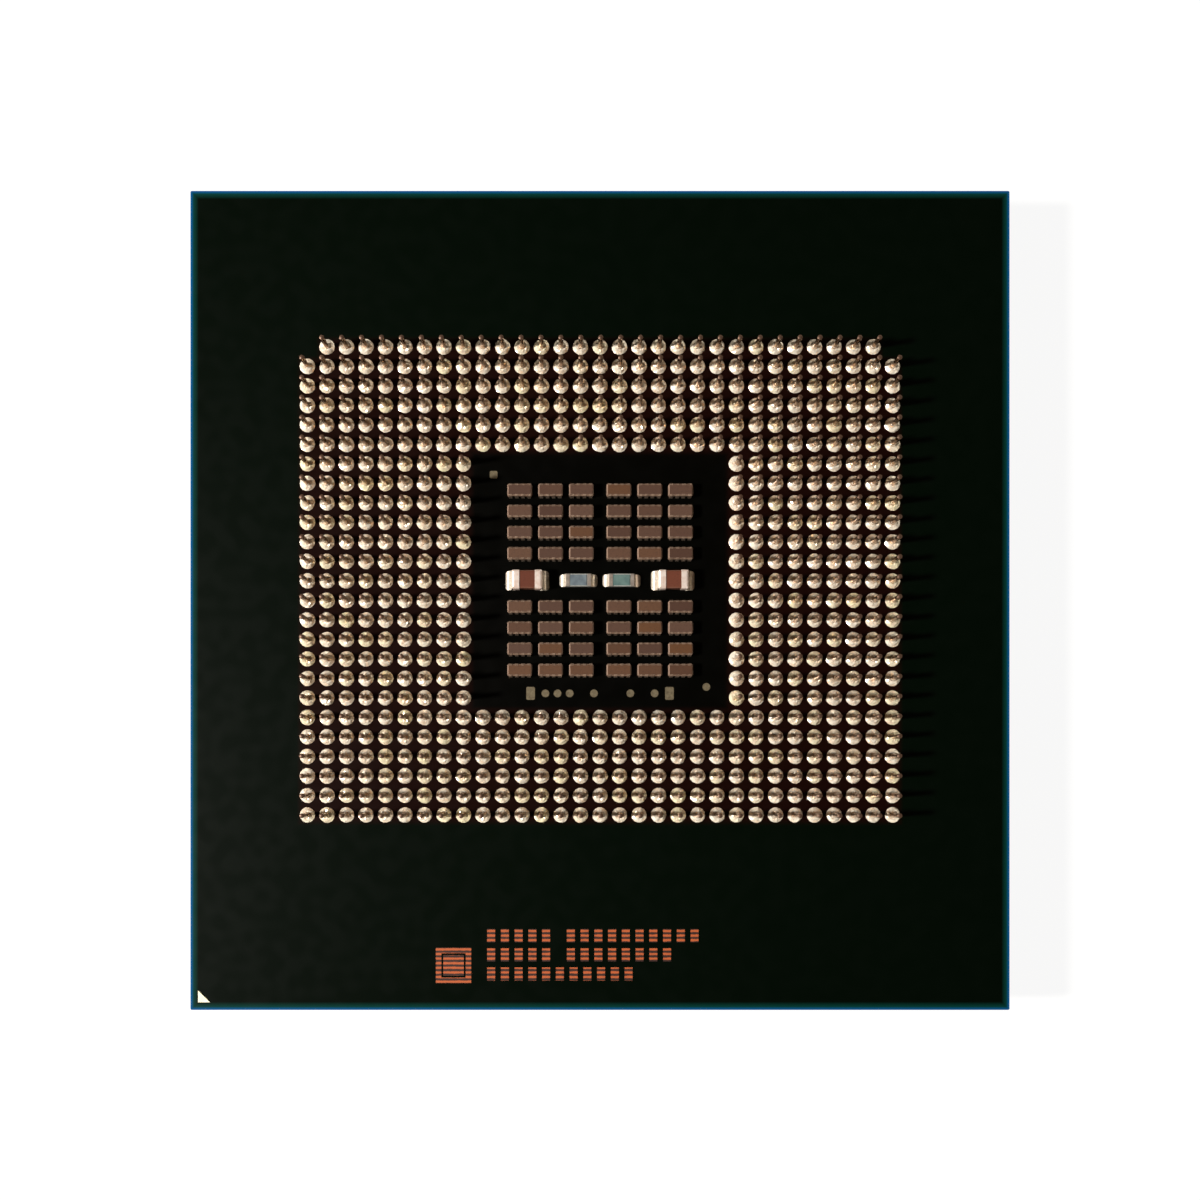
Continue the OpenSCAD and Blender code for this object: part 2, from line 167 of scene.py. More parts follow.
@dataclass(frozen=True)
class Coat:
    """The nodes of a material while a finish is laid on it.

    Attributes:
        tree: The material's node tree.
        shader: Its Principled shader.
        place: Object coordinates.
    """

    tree: Tree
    shader: Node
    place: Socket

    def paint(self, colour: Socket) -> None:
        """Link a colour to the shader."""
        self.tree.links.new(colour, self.shader.inputs["Base Color"])

    def box_mask(self, centre: Point, half: Point, soft: float) -> Socket:
        """Make a mask that is 1 inside an upright box seen from above and 0 outside.

        Args:
            centre: Middle of the box.
            half: Half its sides.
            soft: Width of the blend at its edge.

        Returns:
            The mask's socket.
        """
        tree = self.tree
        middle = (centre[0] * MM, centre[1] * MM, 0.0)
        sides = (half[0] * MM, half[1] * MM, 1.0)
        moved = add_node(tree, "ShaderNodeVectorMath", {0: self.place, 1: middle}, operation="SUBTRACT")
        folded = add_node(tree, "ShaderNodeVectorMath", {0: moved.outputs[0]}, operation="ABSOLUTE")
        reach = {0: folded.outputs[0], 1: sides}
        beyond = add_node(tree, "ShaderNodeVectorMath", reach, operation="SUBTRACT")
        axes = add_node(tree, "ShaderNodeSeparateXYZ", {0: beyond.outputs[0]})
        both = {0: axes.outputs[0], 1: axes.outputs[1]}
        far = add_node(tree, "ShaderNodeMath", both, operation="MAXIMUM")
        edge = {"Value": far.outputs[0], "From Min": soft * MM / 2, "From Max": -soft * MM / 2}
        return add_node(tree, "ShaderNodeMapRange", edge).outputs[0]

    def own_numbers(self, step: Point, start: Point) -> tuple[Socket, Socket]:
        """Give every cell of a grid its own random numbers, so that each small part has its own tint.

        Args:
            step: Sides of a cell.
            start: A corner of a cell.

        Returns:
            Sockets of two numbers from 0 to 1.
        """
        tree = self.tree
        corner = (start[0] * MM, start[1] * MM, 0.0)
        cell = (step[0] * MM, step[1] * MM, 1.0)
        moved = add_node(tree, "ShaderNodeVectorMath", {0: self.place, 1: corner}, operation="SUBTRACT")
        scaled = add_node(tree, "ShaderNodeVectorMath", {0: moved.outputs[0], 1: cell}, operation="DIVIDE")
        number = add_node(tree, "ShaderNodeVectorMath", {0: scaled.outputs[0]}, operation="FLOOR")
        seed = {"Vector": number.outputs[0]}
        white = add_node(tree, "ShaderNodeTexWhiteNoise", seed, noise_dimensions="2D")
        parts = add_node(tree, "ShaderNodeSeparateColor", {0: white.outputs["Color"]})
        return parts.outputs[0], parts.outputs[1]

    def patches(self, width: float, window: Point = (0.35, 0.65), detail: float = 2.0) -> Socket:
        """Make irregular soft patches.

        Args:
            width: Width of a patch.
            window: The pattern's values that become 0 and 1.
            detail: How many times the pattern is repeated at half the size.

        Returns:
            Socket of a number from 0 to 1.
        """
        pattern = {"Vector": self.place, "Scale": per_mm(width), "Detail": detail, "Roughness": 0.55}
        noise = add_node(self.tree, "ShaderNodeTexNoise", pattern)
        spread = {"Value": noise.outputs[0], "From Min": window[0], "From Max": window[1]}
        return add_node(self.tree, "ShaderNodeMapRange", spread).outputs[0]

    def vary(self, name: str, share: Socket, ends: Point) -> None:
        """Let a number of the shader go from one value to another along a mask.

        Args:
            name: The shader's input.
            share: The mask.
            ends: Values at 0 and at 1.
        """
        between = {"Value": share, "To Min": ends[0], "To Max": ends[1]}
        number = add_node(self.tree, "ShaderNodeMapRange", between).outputs[0]
        self.tree.links.new(number, self.shader.inputs[name])

    def relief(self, width: float, depth: float, detail: float = 2.0) -> None:
        """Press irregular hollows into the surface.

        Args:
            width: Width of a hollow.
            depth: Depth of a hollow.
            detail: How many times the hollows are repeated at half the size.
        """
        pattern = {"Vector": self.place, "Scale": per_mm(width), "Detail": detail, "Roughness": 0.5}
        noise = add_node(self.tree, "ShaderNodeTexNoise", pattern)
        dent = {"Strength": 1.0, "Distance": depth * MM, "Height": noise.outputs[0]}
        bump = add_node(self.tree, "ShaderNodeBump", dent)
        self.tree.links.new(bump.outputs[0], self.shader.inputs["Normal"])


@dataclass(frozen=True)
class Finish:
    """A material with its own nodes.

    Attributes:
        name: Name of the material.
    """

    name: str

    def make(self) -> bpy.types.Material:
        """Make a material that wears this finish.

        Returns:
            The new material.
        """
        material = bpy.data.materials.new(self.name)
        material.use_nodes = True
        tree = material.node_tree
        place = add_node(tree, "ShaderNodeTexCoord").outputs["Object"]
        self.dress(Coat(tree, tree.nodes["Principled BSDF"], place))
        return material

    def dress(self, coat: Coat) -> None:
        """Add the finish's nodes.

        Args:
            coat: The material's nodes so far.
        """
        raise NotImplementedError


@dataclass(frozen=True)
class Metal(Finish):
    """A plated or soldered metal whose tint and gloss wander a little.

    Attributes:
        light: Tint of the brightest patches.
        dark: Tint of the dullest patches.
        gloss: Roughness of the smoothest and the roughest patches.
        patch: Width of a patch.
        ripple: Width of the surface's ripples.
        depth: Depth of the ripples.
        bare: Share of bare metal. The rest is a thin oxide that scatters light.
    """

    light: str
    dark: str
    gloss: Point
    patch: float
    ripple: float
    depth: float
    bare: float = 1.0

    def dress(self, coat: Coat) -> None:
        """Add the patches, the gloss and the ripples.

        Args:
            coat: The material's nodes so far.
        """
        share = coat.patches(self.patch)
        tint = tinted(coat.tree, share, linear(self.dark), linear(self.light))
        coat.paint(tint)
        coat.vary("Roughness", share, (self.gloss[1], self.gloss[0]))
        coat.shader.inputs["Metallic"].default_value = self.bare
        coat.relief(self.ripple, self.depth)


@dataclass(frozen=True)
class JointSolder(Finish):
    """Tin-rich solder with dissolved gold, frozen from a melt: a warm white, frosty metal with wrinkles.

    Attributes:
        light: Tint of a clean wrinkle.
        dark: Tint of a dull wrinkle.
        yellow: Tint of joints that took up more gold.
        gloss: Roughness of the smoothest and the roughest wrinkles.
        bare: Share of bare metal. The rest is a thin oxide that scatters light.
        plain: Share of the joints that took up no more gold than usual.
        golden: How far the most golden joint goes from light to yellow.
        wrinkle: Width of a wrinkle.
        clear: Values of the wrinkle pattern at which the metal is all dull and all clean.
        depth: Depth of a wrinkle.
    """

    light: str = "#fff6e6"
    dark: str = "#ecd7bf"
    yellow: str = "#f8efc2"
    gloss: Point = (0.18, 0.32)
    bare: float = 0.4
    plain: float = 0.6
    golden: float = 0.8
    wrinkle: float = 0.34
    clear: Point = (0.35, 0.55)
    depth: float = 0.04

    def dress(self, coat: Coat) -> None:
        """Add the joints' own tints, the dull patches and the wrinkles.

        Args:
            coat: The material's nodes so far.
        """
        half = GRID.pitch / 2
        own, _ = coat.own_numbers((GRID.pitch, GRID.pitch), (-half, -half))
        gold = {"Value": own, "From Min": self.plain, "From Max": 1.0, "To Max": self.golden}
        share = add_node(coat.tree, "ShaderNodeMapRange", gold).outputs[0]
        clean = tinted(coat.tree, share, linear(self.light), linear(self.yellow))
        clear = coat.patches(self.wrinkle, self.clear)
        coat.paint(tinted(coat.tree, clear, linear(self.dark), clean))
        coat.vary("Roughness", clear, (self.gloss[1], self.gloss[0]))
        coat.shader.inputs["Metallic"].default_value = self.bare
        coat.relief(self.wrinkle, self.depth)


@dataclass(frozen=True)
class PinGold(Finish):
    """Gold plate over nickel on drawn nickel-iron wire: a dark golden shaft, and a less metallic tip whose
    dark brown is a painted shade for the dark that its end reflects.

    Attributes:
        light: Tint of the shaft's brightest patches.
        dark: Tint of its dullest patches.
        painted_light: Tint of the tip, a painted shade darker than the shaft.
        tip: Height at which the tip starts.
        fade: Height over which the shaft turns into the tip.
        gloss: Roughness of the shaft and of the tip.
        bare: Share of bare metal on the shaft and on the tip.
        patch: Width of a patch.
        mark: Width of the marks that the drawing die left.
        depth: Depth of those marks.
    """

    light: str = "#bd956c"
    dark: str = "#7f5f42"
    painted_light: str = "#5c4436"
    tip: float = 6.2
    fade: float = 0.04
    gloss: Point = (0.22, 0.45)
    bare: Point = (1.0, 0.5)
    patch: float = 0.5
    mark: float = 0.15
    depth: float = 0.002

    def dress(self, coat: Coat) -> None:
        """Add the shaft's patches and the tip's painted shade.

        Args:
            coat: The material's nodes so far.
        """
        share = coat.patches(self.patch)
        shaft = tinted(coat.tree, share, linear(self.dark), linear(self.light))
        height = add_node(coat.tree, "ShaderNodeSeparateXYZ", {0: coat.place}).outputs[2]
        reach = {"Value": height, "From Min": self.tip * MM, "From Max": (self.tip + self.fade) * MM}
        end = add_node(coat.tree, "ShaderNodeMapRange", reach).outputs[0]
        # The tip is painted dark brown: a painted shade for the dark that its flat end reflects.
        coat.paint(tinted(coat.tree, end, shaft, linear(self.painted_light)))
        coat.vary("Roughness", end, self.gloss)
        coat.vary("Metallic", end, self.bare)
        coat.relief(self.mark, self.depth)


@dataclass(frozen=True)
class SolderResist(Finish):
    """Dark green solder resist over a glass laminate, satin, thinning to the bare laminate at the cut edge.

    Attributes:
        face: Colour of the resist.
        field: Colour between the joints, a reddish brown that is a painted reflection of the joints and
            pins.
        pit: Colour of the well, where flux has darkened the resist.
        edge: Colour right at the cut: the laminate, lifted to a bright blue that is a painted highlight
            along the cut edge.
        bare: Colour of the laminate where the resist starts.
        core: Colour of the laminate's cut side.
        layer: Colour of the build-up layers in the cut side.
        half: Half the board's side.
        cut: Width of the strip beside the cut that has no resist.
        rim: Distance from the cut at which the resist has its full thickness.
        thick: Thickness of the board.
        core_half: Half the thickness of the core between the build-up layers.
        layer_step: Spacing of the build-up layers.
        skin: Thickness of the resist.
        margin: How far the painted reflection between the joints reaches past the outer pins.
        well_half: Half the side of the well.
        blend: Width of the blend between face, field and well.
        gloss: Roughness of the smoothest and the roughest patches.
        patch: Width of such a patch.
        mirror: Specular level, low because the resist is filled and matted.
        weave: Width of the soft waves that the glass cloth leaves in the resist.
        depth: Depth of those waves.
    """

    face: str = "#010702"
    field: str = "#130402"
    pit: str = "#010100"
    edge: str = "#0b5290"
    bare: str = "#04342e"
    core: str = "#1f4a45"
    layer: str = "#0c2b2c"
    half: float = 26.67
    cut: float = 0.208
    rim: float = 0.52
    thick: float = 1.35
    core_half: float = 0.4
    layer_step: float = 0.13
    skin: float = 0.02
    margin: float = 0.5
    well_half: float = 8.35
    blend: float = 0.4
    gloss: Point = (0.31, 0.34)
    patch: float = 1.1
    mirror: float = 0.16
    weave: float = 0.9
    depth: float = 0.002

    def dress(self, coat: Coat) -> None:
        """Add the face, the field between the joints with its painted reflection, the thin rim with its
        painted highlight and the layers of the cut side.

        Args:
            coat: The material's nodes so far.
        """
        axes = add_node(coat.tree, "ShaderNodeSeparateXYZ", {0: coat.place})
        colour = self.face_colour(coat)
        colour = self.rim_colour(coat.tree, axes, colour)
        colour = self.side_colour(coat.tree, axes, colour)
        coat.paint(colour)
        share = coat.patches(self.patch, detail=0.0)
        coat.vary("Roughness", share, self.gloss)
        coat.shader.inputs["Specular IOR Level"].default_value = self.mirror
        coat.relief(self.weave, self.depth, detail=0.0)

    def face_colour(self, coat: Coat) -> Socket:
        """Tell the plain face, the field of pins and the well apart, and give the field its painted
        reflection.

        The field is two boxes laid over each other, because the top row has no corner pins.

        Args:
            coat: The material's nodes so far.

        Returns:
            The face's colour.
        """
        across, up = GRID.columns // 2, GRID.rows // 2
        tall = ((across - 1) * GRID.pitch + self.margin, up * GRID.pitch + self.margin)
        wide = (across * GRID.pitch + self.margin, (up - 0.5) * GRID.pitch + self.margin)
        all_rows = coat.box_mask((0.0, GRID.offset), tall, self.blend)
        full_rows = coat.box_mask((0.0, GRID.offset - GRID.pitch / 2), wide, self.blend)
        field = add_node(coat.tree, "ShaderNodeMath", {0: all_rows, 1: full_rows}, operation="MAXIMUM")
        well = coat.box_mask((0.0, GRID.offset), (self.well_half, self.well_half), self.blend)
        # Painted reflection: the field between the joints is painted reddish brown for the joints and pins
        # that the resist reflects.
        colour = tinted(coat.tree, field.outputs[0], linear(self.face), linear(self.field))
        return tinted(coat.tree, well, colour, linear(self.pit))

    def rim_colour(self, tree: Tree, axes: Node, inner: Socket) -> Socket:
        """Let the laminate show through the thin resist round the face, with a bright blue at the cut that
        is a painted highlight along the edge.

        Args:
            tree: The material's node tree.
            axes: Node that splits the Object coordinates.
            inner: Colour inside the rim.

        Returns:
            The colour with the rim in it.
        """
        across = add_node(tree, "ShaderNodeMath", {0: axes.outputs[0]}, operation="ABSOLUTE")
        along = add_node(tree, "ShaderNodeMath", {0: axes.outputs[1]}, operation="ABSOLUTE")
        both = {0: across.outputs[0], 1: along.outputs[0]}
        far = add_node(tree, "ShaderNodeMath", both, operation="MAXIMUM")
        depths = {0: self.half * MM, 1: far.outputs[0]}
        inward = add_node(tree, "ShaderNodeMath", depths, operation="SUBTRACT").outputs[0]
        outer = {"Value": inward, "From Min": 0.0, "From Max": self.cut * MM}
        inner_strip = {"Value": inward, "From Min": self.cut * MM, "From Max": self.rim * MM}
        bared = add_node(tree, "ShaderNodeMapRange", outer).outputs[0]
        coated = add_node(tree, "ShaderNodeMapRange", inner_strip).outputs[0]
        # Painted highlight: the bright blue right at the cut stands for light caught along the board's
        # edge.
        strip = tinted(tree, bared, linear(self.edge), linear(self.bare))
        return tinted(tree, coated, strip, inner)

    def side_colour(self, tree: Tree, axes: Node, face: Socket) -> Socket:
        """Show the laminate's layers in the cut side.

        Args:
            tree: The material's node tree.
            axes: Node that splits the Object coordinates.
            face: Colour of the two faces.

        Returns:
            The colour with the layered side in it.
        """
        middle, reach = (GRID.face - self.thick / 2) * MM, self.thick / 2
        height = add_node(tree, "ShaderNodeMath", {0: axes.outputs[2], 1: middle}, operation="SUBTRACT")
        level = add_node(tree, "ShaderNodeMath", {0: height.outputs[0]}, operation="ABSOLUTE").outputs[0]
        waves = {0: level, 1: math.tau / (self.layer_step * MM)}
        phase = add_node(tree, "ShaderNodeMath", waves, operation="MULTIPLY")
        stripe = add_node(tree, "ShaderNodeMath", {0: phase.outputs[0]}, operation="SINE")
        low, high = self.core_half * MM, (self.core_half + self.skin) * MM
        beyond = {"Value": level, "From Min": low, "From Max": high}
        build_up = add_node(tree, "ShaderNodeMapRange", beyond).outputs[0]
        lines = add_node(tree, "ShaderNodeMath", {0: stripe.outputs[0], 1: build_up}, operation="MULTIPLY")
        side = tinted(tree, lines.outputs[0], linear(self.core), linear(self.layer))
        low, high = (reach - self.skin) * MM, (reach - self.skin / 2) * MM
        skin = add_node(tree, "ShaderNodeMapRange", {"Value": level, "From Min": low, "From Max": high})
        return tinted(tree, skin.outputs[0], side, face)


@dataclass(frozen=True)
class FiredCeramic(Finish):
    """Barium titanate ceramic, fired and tumbled: matt, finely speckled, each part from its own batch.

    Attributes:
        body: Usual colour.
        pale: Colour of the palest batch.
        warm: Colour of the most orange batch.
        speck: Colour of the specks.
        painted_light: Colour of the painted highlight on the chamfered edges, paler than the top.
        step: Spacing of the parts.
        start: Corner of a cell of that spacing.
        rough: Roughness.
        usual: Share of the parts that aren't warm.
        warmest: How far the warmest part goes to the warm colour.
        speck_width: Width of a speck.
        speck_window: Values of the speck pattern at which a speck starts and is strongest.
        strongest: How far the strongest speck goes to the specks' colour.
        edge: Upward share of the normal at which the painted edge highlight starts and is full.
        grit: Width of the fired skin's unevenness.
        depth: Depth of that unevenness.
    """

    body: str
    pale: str
    warm: str
    speck: str
    painted_light: str
    step: Point
    start: Point
    rough: float = 0.5
    usual: float = 0.5
    warmest: float = 0.8
    speck_width: float = 0.11
    speck_window: Point = (0.5, 0.75)
    strongest: float = 0.5
    edge: Point = (0.97, 0.8)
    grit: float = 0.14
    depth: float = 0.006

    def dress(self, coat: Coat) -> None:
        """Add each part's tint, the specks, the painted highlight on the edges and the fired skin.

        Args:
            coat: The material's nodes so far.
        """
        paler, warmer = coat.own_numbers(self.step, self.start)
        colour = tinted(coat.tree, paler, linear(self.body), linear(self.pale))
        warmth = {"Value": warmer, "From Min": self.usual, "To Max": self.warmest}
        some = add_node(coat.tree, "ShaderNodeMapRange", warmth).outputs[0]
        colour = tinted(coat.tree, some, colour, linear(self.warm))
        pattern = coat.patches(self.speck_width, self.speck_window)
        specks = add_node(coat.tree, "ShaderNodeMapRange", {"Value": pattern, "To Max": self.strongest})
        colour = tinted(coat.tree, specks.outputs[0], colour, linear(self.speck))
        # Painted highlight: where the surface turns away from upward, on the chamfered edges of every side,
        # the colour goes paler, standing for light that the edges catch.
        facing = add_node(coat.tree, "ShaderNodeNewGeometry").outputs["True Normal"]
        up = add_node(coat.tree, "ShaderNodeSeparateXYZ", {0: facing}).outputs[2]
        rounding = {"Value": up, "From Min": self.edge[0], "From Max": self.edge[1]}
        slope = add_node(coat.tree, "ShaderNodeMapRange", rounding).outputs[0]
        coat.paint(tinted(coat.tree, slope, colour, linear(self.painted_light)))
        coat.shader.inputs["Roughness"].default_value = self.rough
        coat.relief(self.grit, self.depth)


@dataclass(frozen=True)
class Compound(Finish):
    """A cast or printed non-metal: glass coat, resin, silicone, silicon or alumina.

    Attributes:
        base: Usual colour.
        cloud: Colour of the clouds in it.
        rough: Roughness.
        cloud_width: Width of a cloud.
        depth: Depth of the surface's unevenness.
        window: Values of the cloud pattern at which a cloud starts and is full.
    """

    base: str
    cloud: str
    rough: float
    cloud_width: float
    depth: float
    window: Point = (0.4, 0.65)

    def dress(self, coat: Coat) -> None:
        """Add the clouds and the unevenness.

        Args:
            coat: The material's nodes so far.
        """
        clouds = coat.patches(self.cloud_width, self.window)
        colour = tinted(coat.tree, clouds, linear(self.base), linear(self.cloud))
        coat.paint(colour)
        coat.shader.inputs["Roughness"].default_value = self.rough
        coat.relief(self.cloud_width / 2, self.depth)


@dataclass(frozen=True)
class LaserBurn(Finish):
    """Resist that a laser has burnt down to the copper in close lines: dull orange over near black.

    Attributes:
        line: Colour of a burnt line.
        gap: Colour of the resist between two lines.
        pitch: Spacing of the lines, drawn far coarser than a real laser's so that it shows.
        smear: Width of the patches that make a line uneven.
        window: Values of that pattern that become 0 and 1.
        full: Sum of line and patch at which the burn is full.
        rough: Roughness.
    """

    line: str = "#b25526"
    gap: str = "#2c0f06"
    pitch: float = 0.3
    smear: float = 0.35
    window: Point = (0.2, 0.8)
    full: float = 1.2
    rough: float = 0.6

    def dress(self, coat: Coat) -> None:
        """Add the burnt lines.

        Args:
            coat: The material's nodes so far.
        """
        axes = add_node(coat.tree, "ShaderNodeSeparateXYZ", {0: coat.place})
        waves = {0: axes.outputs[1], 1: math.tau / (self.pitch * MM)}
        phase = add_node(coat.tree, "ShaderNodeMath", waves, operation="MULTIPLY")
        stripe = add_node(coat.tree, "ShaderNodeMath", {0: phase.outputs[0]}, operation="SINE")
        uneven = {0: stripe.outputs[0], 1: coat.patches(self.smear, self.window)}
        summed = add_node(coat.tree, "ShaderNodeMath", uneven, operation="ADD")
        spread = {"Value": summed.outputs[0], "From Min": 0.0, "From Max": self.full}
        share = add_node(coat.tree, "ShaderNodeMapRange", spread).outputs[0]
        coat.paint(tinted(coat.tree, share, linear(self.gap), linear(self.line)))
        coat.shader.inputs["Roughness"].default_value = self.rough


def wear(names: list[str], finish: Finish) -> None:
    """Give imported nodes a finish.

    Args:
        names: The nodes' names.
        finish: What they wear.
    """
    material = finish.make()
    for name in names:
        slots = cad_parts[name].data.materials
        slots.clear()
        slots.append(material)
    LOG.info("%s on %d nodes", finish.name, len(names))


def new_piece(name: str, mesh: bmesh.types.BMesh, finish: Finish) -> bpy.types.Object:
    """Turn a finished bmesh into a piece of the package.

    Args:
        name: The piece's name.
        mesh: Its shape in metres, which is freed.
        finish: What it wears.

    Returns:
        The piece, riding on the package.
    """
    data = bpy.data.meshes.new(name)
    mesh.to_mesh(data)
    mesh.free()
    data.materials.append(finish.make())
    piece = bpy.data.objects.new(name, data)
    bpy.context.scene.collection.objects.link(piece)
    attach(piece, "root")
    LOG.info("%s: %d faces", name, len(data.polygons))
    return piece


@dataclass
class Board:
    """The laminate board with its lands and its pin-one triangle."""

    def dress(self) -> None:
        """Give the board its resist and the lands their gold."""
        wear(["substrate"], SolderResist("solder_resist"))
        # Thin gold over nickel on copper lands, dulled by flux: satin and a little clouded.
        gold = Metal(
            "land_gold", "#b0a284", "#857861",
            gloss=(0.3, 0.42), patch=0.25, ripple=0.2, depth=0.006, bare=0.7,
        )
        wear(["test_lands"], gold)
        # Thick gold over nickel, matt from its plating bath, its tint lifted to a near white that is a
        # painted highlight, so that it looks glinting from every side.
        mark = Metal(
            "mark_gold", "#fffbe4", "#fdf0c8",
            gloss=(0.4, 0.5), patch=0.3, ripple=0.2, depth=0.004, bare=0.2,
        )
        wear(["pin_one_mark"], mark)


@dataclass
class PinField:
    """The grid of pins and the solder joints that hold them.

    Attributes:
        joint_r: Radius of a joint on its pad.
        shoulder: Where the cone bends: share of the joint's radius, and height.
        brow: Where the flat top over the nail head starts: share of the radius, and height.
        knee: Where the flat top meets the neck: share of the radius, and height.
        neck_r: Radius of a joint's upper end, just outside the pin's shaft.
        climb: How far a joint climbs its pin.
        segments: Faces round a joint.
        size_range: Smallest and largest joint, as a share of the usual one.
        lobes: Lobes that a joint's outline may have.
        lobe_range: Weakest and strongest lobe, as a share of the wave.
        wave: How far a joint's outline wanders, as a share of its radius.
        lean: Steepest tilt of a joint's top, each way.
        crinkle: How far a point of its surface wanders.
        still: Height below which points stay on the pad.
        slack: Room for telling points apart by their radius.
        seed: Seed of the wandering.
    """

    joint_r: float = 0.505
    shoulder: Point = (0.86, 0.075)
    brow: Point = (0.64, 0.165)
    knee: Point = (0.38, 0.178)
    neck_r: float = 0.164
    climb: float = 0.34
    segments: int = 14
    size_range: Point = (0.98, 1.02)
    lobes: tuple[int, ...] = (2, 3, 5)
    lobe_range: Point = (0.3, 1.0)
    wave: float = 0.04
    lean: float = 0.05
    crinkle: float = 0.03
    still: float = 0.04
    slack: float = 0.01
    seed: int = 604

    def places(self, bank: Bank) -> Iterator[Point]:
        """Yield the middle of every pin of a bank.

        Args:
            bank: The bank.

        Yields:
            X and Y in millimetres.
        """
        middle_x, middle_y, reach = GRID.columns // 2, GRID.rows // 2, GRID.well // 2
        for row in range(GRID.rows):
            for column in range(GRID.columns):
                across, up = column - middle_x, row - middle_y
                if row == GRID.rows - 1 and abs(across) == middle_x:
                    continue
                if self.bank_of(across, up, reach) is bank:
                    yield across * GRID.pitch, up * GRID.pitch + GRID.offset

    @staticmethod
    def bank_of(across: int, up: int, reach: int) -> Bank | None:
        """Say which bank a place belongs to.

        Args:
            across: Columns from the grid's middle.
            up: Rows from the grid's middle.
            reach: Half the well, in places.

        Returns:
            The bank, or None in the well.
        """
        if abs(up) > reach:
            return Bank.NORTH if up > 0 else Bank.SOUTH
        if abs(across) > reach:
            return Bank.EAST if across > 0 else Bank.WEST
        return None

    def joint_mesh(self) -> bpy.types.Mesh:
        """Spin the half section of one joint round its pin: a low cone, a flat top and a neck.

        The neck is smooth, and all the rest has facets.

        Returns:
            A mesh in millimetres, with the pad's plane at z 0.
        """
        bends = [(self.joint_r * share, height) for share, height in (self.shoulder, self.brow, self.knee)]
        section = [(self.joint_r, 0.0), *bends, (self.neck_r, self.climb)]
        neck_end = bends[-1][0] - self.slack
        mesh = bmesh.new()
        points = [mesh.verts.new((r, 0.0, z)) for r, z in section]
        edges = [mesh.edges.new(pair) for pair in zip(points, points[1:], strict=False)]
        turn = {"cent": (0, 0, 0), "axis": (0, 0, 1), "angle": math.tau, "steps": self.segments}
        bmesh.ops.spin(mesh, geom=points + edges, use_merge=True, use_duplicate=False, **turn)
        bmesh.ops.remove_doubles(mesh, verts=mesh.verts[:], dist=1e-5)
        bmesh.ops.holes_fill(mesh, edges=[edge for edge in mesh.edges if edge.is_boundary], sides=0)
        bmesh.ops.recalc_face_normals(mesh, faces=mesh.faces[:])
        for face in mesh.faces:
            nearest = min(math.hypot(vert.co.x, vert.co.y) for vert in face.verts)
            face.smooth = len(face.verts) == 4 and nearest < neck_end
        made = bpy.data.meshes.new("joint")
        mesh.to_mesh(made)
        mesh.free()
        return made

    def freeze(self, points: list[bmesh.types.BMVert], dice: random.Random) -> None:
        """Give one joint the outline, the tilt and the facets that it froze with.

        Args:
            points: The joint's vertices, still about z 0 on its own axis.
            dice: Source of the wandering.
        """
        size = dice.uniform(*self.size_range)
        lobes = [
            (count, dice.uniform(0.0, math.tau), dice.uniform(*self.lobe_range) * self.wave)
            for count in self.lobes
        ]
        lean = Vector((dice.uniform(-1, 1), dice.uniform(-1, 1))) * self.lean
        for point in points:
            radius = math.hypot(point.co.x, point.co.y)
            if radius < self.neck_r + self.slack:
                continue
            angle = math.atan2(point.co.y, point.co.x)
            bulge = sum(depth * math.cos(count * angle + phase) for count, phase, depth in lobes) / 2
            swell = size * (1 + radius / self.joint_r * bulge)
            point.co.x *= swell
            point.co.y *= swell
            if point.co.z > self.still:
                tilt = point.co.x * lean.x + point.co.y * lean.y
                point.co.z += tilt + dice.uniform(-1, 1) * self.crinkle

    def build_joints(self, bank: Bank, finish: Finish) -> None:
        """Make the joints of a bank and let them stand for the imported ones.

        Args:
            bank: The bank.
            finish: What the joints wear.
        """
        template = self.joint_mesh()
        dice = random.Random(f"{self.seed} {bank.value}")
        mesh = bmesh.new()
        for x, y in self.places(bank):
            before = len(mesh.verts)
            mesh.from_mesh(template)
            mesh.verts.ensure_lookup_table()
            points = mesh.verts[before:]
            self.freeze(points, dice)
            bmesh.ops.translate(mesh, verts=points, vec=(x, y, GRID.face))
        bmesh.ops.scale(mesh, verts=mesh.verts[:], vec=(MM, MM, MM))
        bpy.data.meshes.remove(template)
        piece = new_piece(f"frozen_joints_{bank.value}", mesh, finish)
        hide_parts(f"pin_solder_{bank.value}")

    def dress(self) -> None:
        """Plate the pins and solder them down."""
        wear([f"pins_{b.value}" for b in Bank], PinGold("pin_gold"))
        for bank in Bank:
            self.build_joints(bank, JointSolder(f"joint_solder_{bank.value}"))


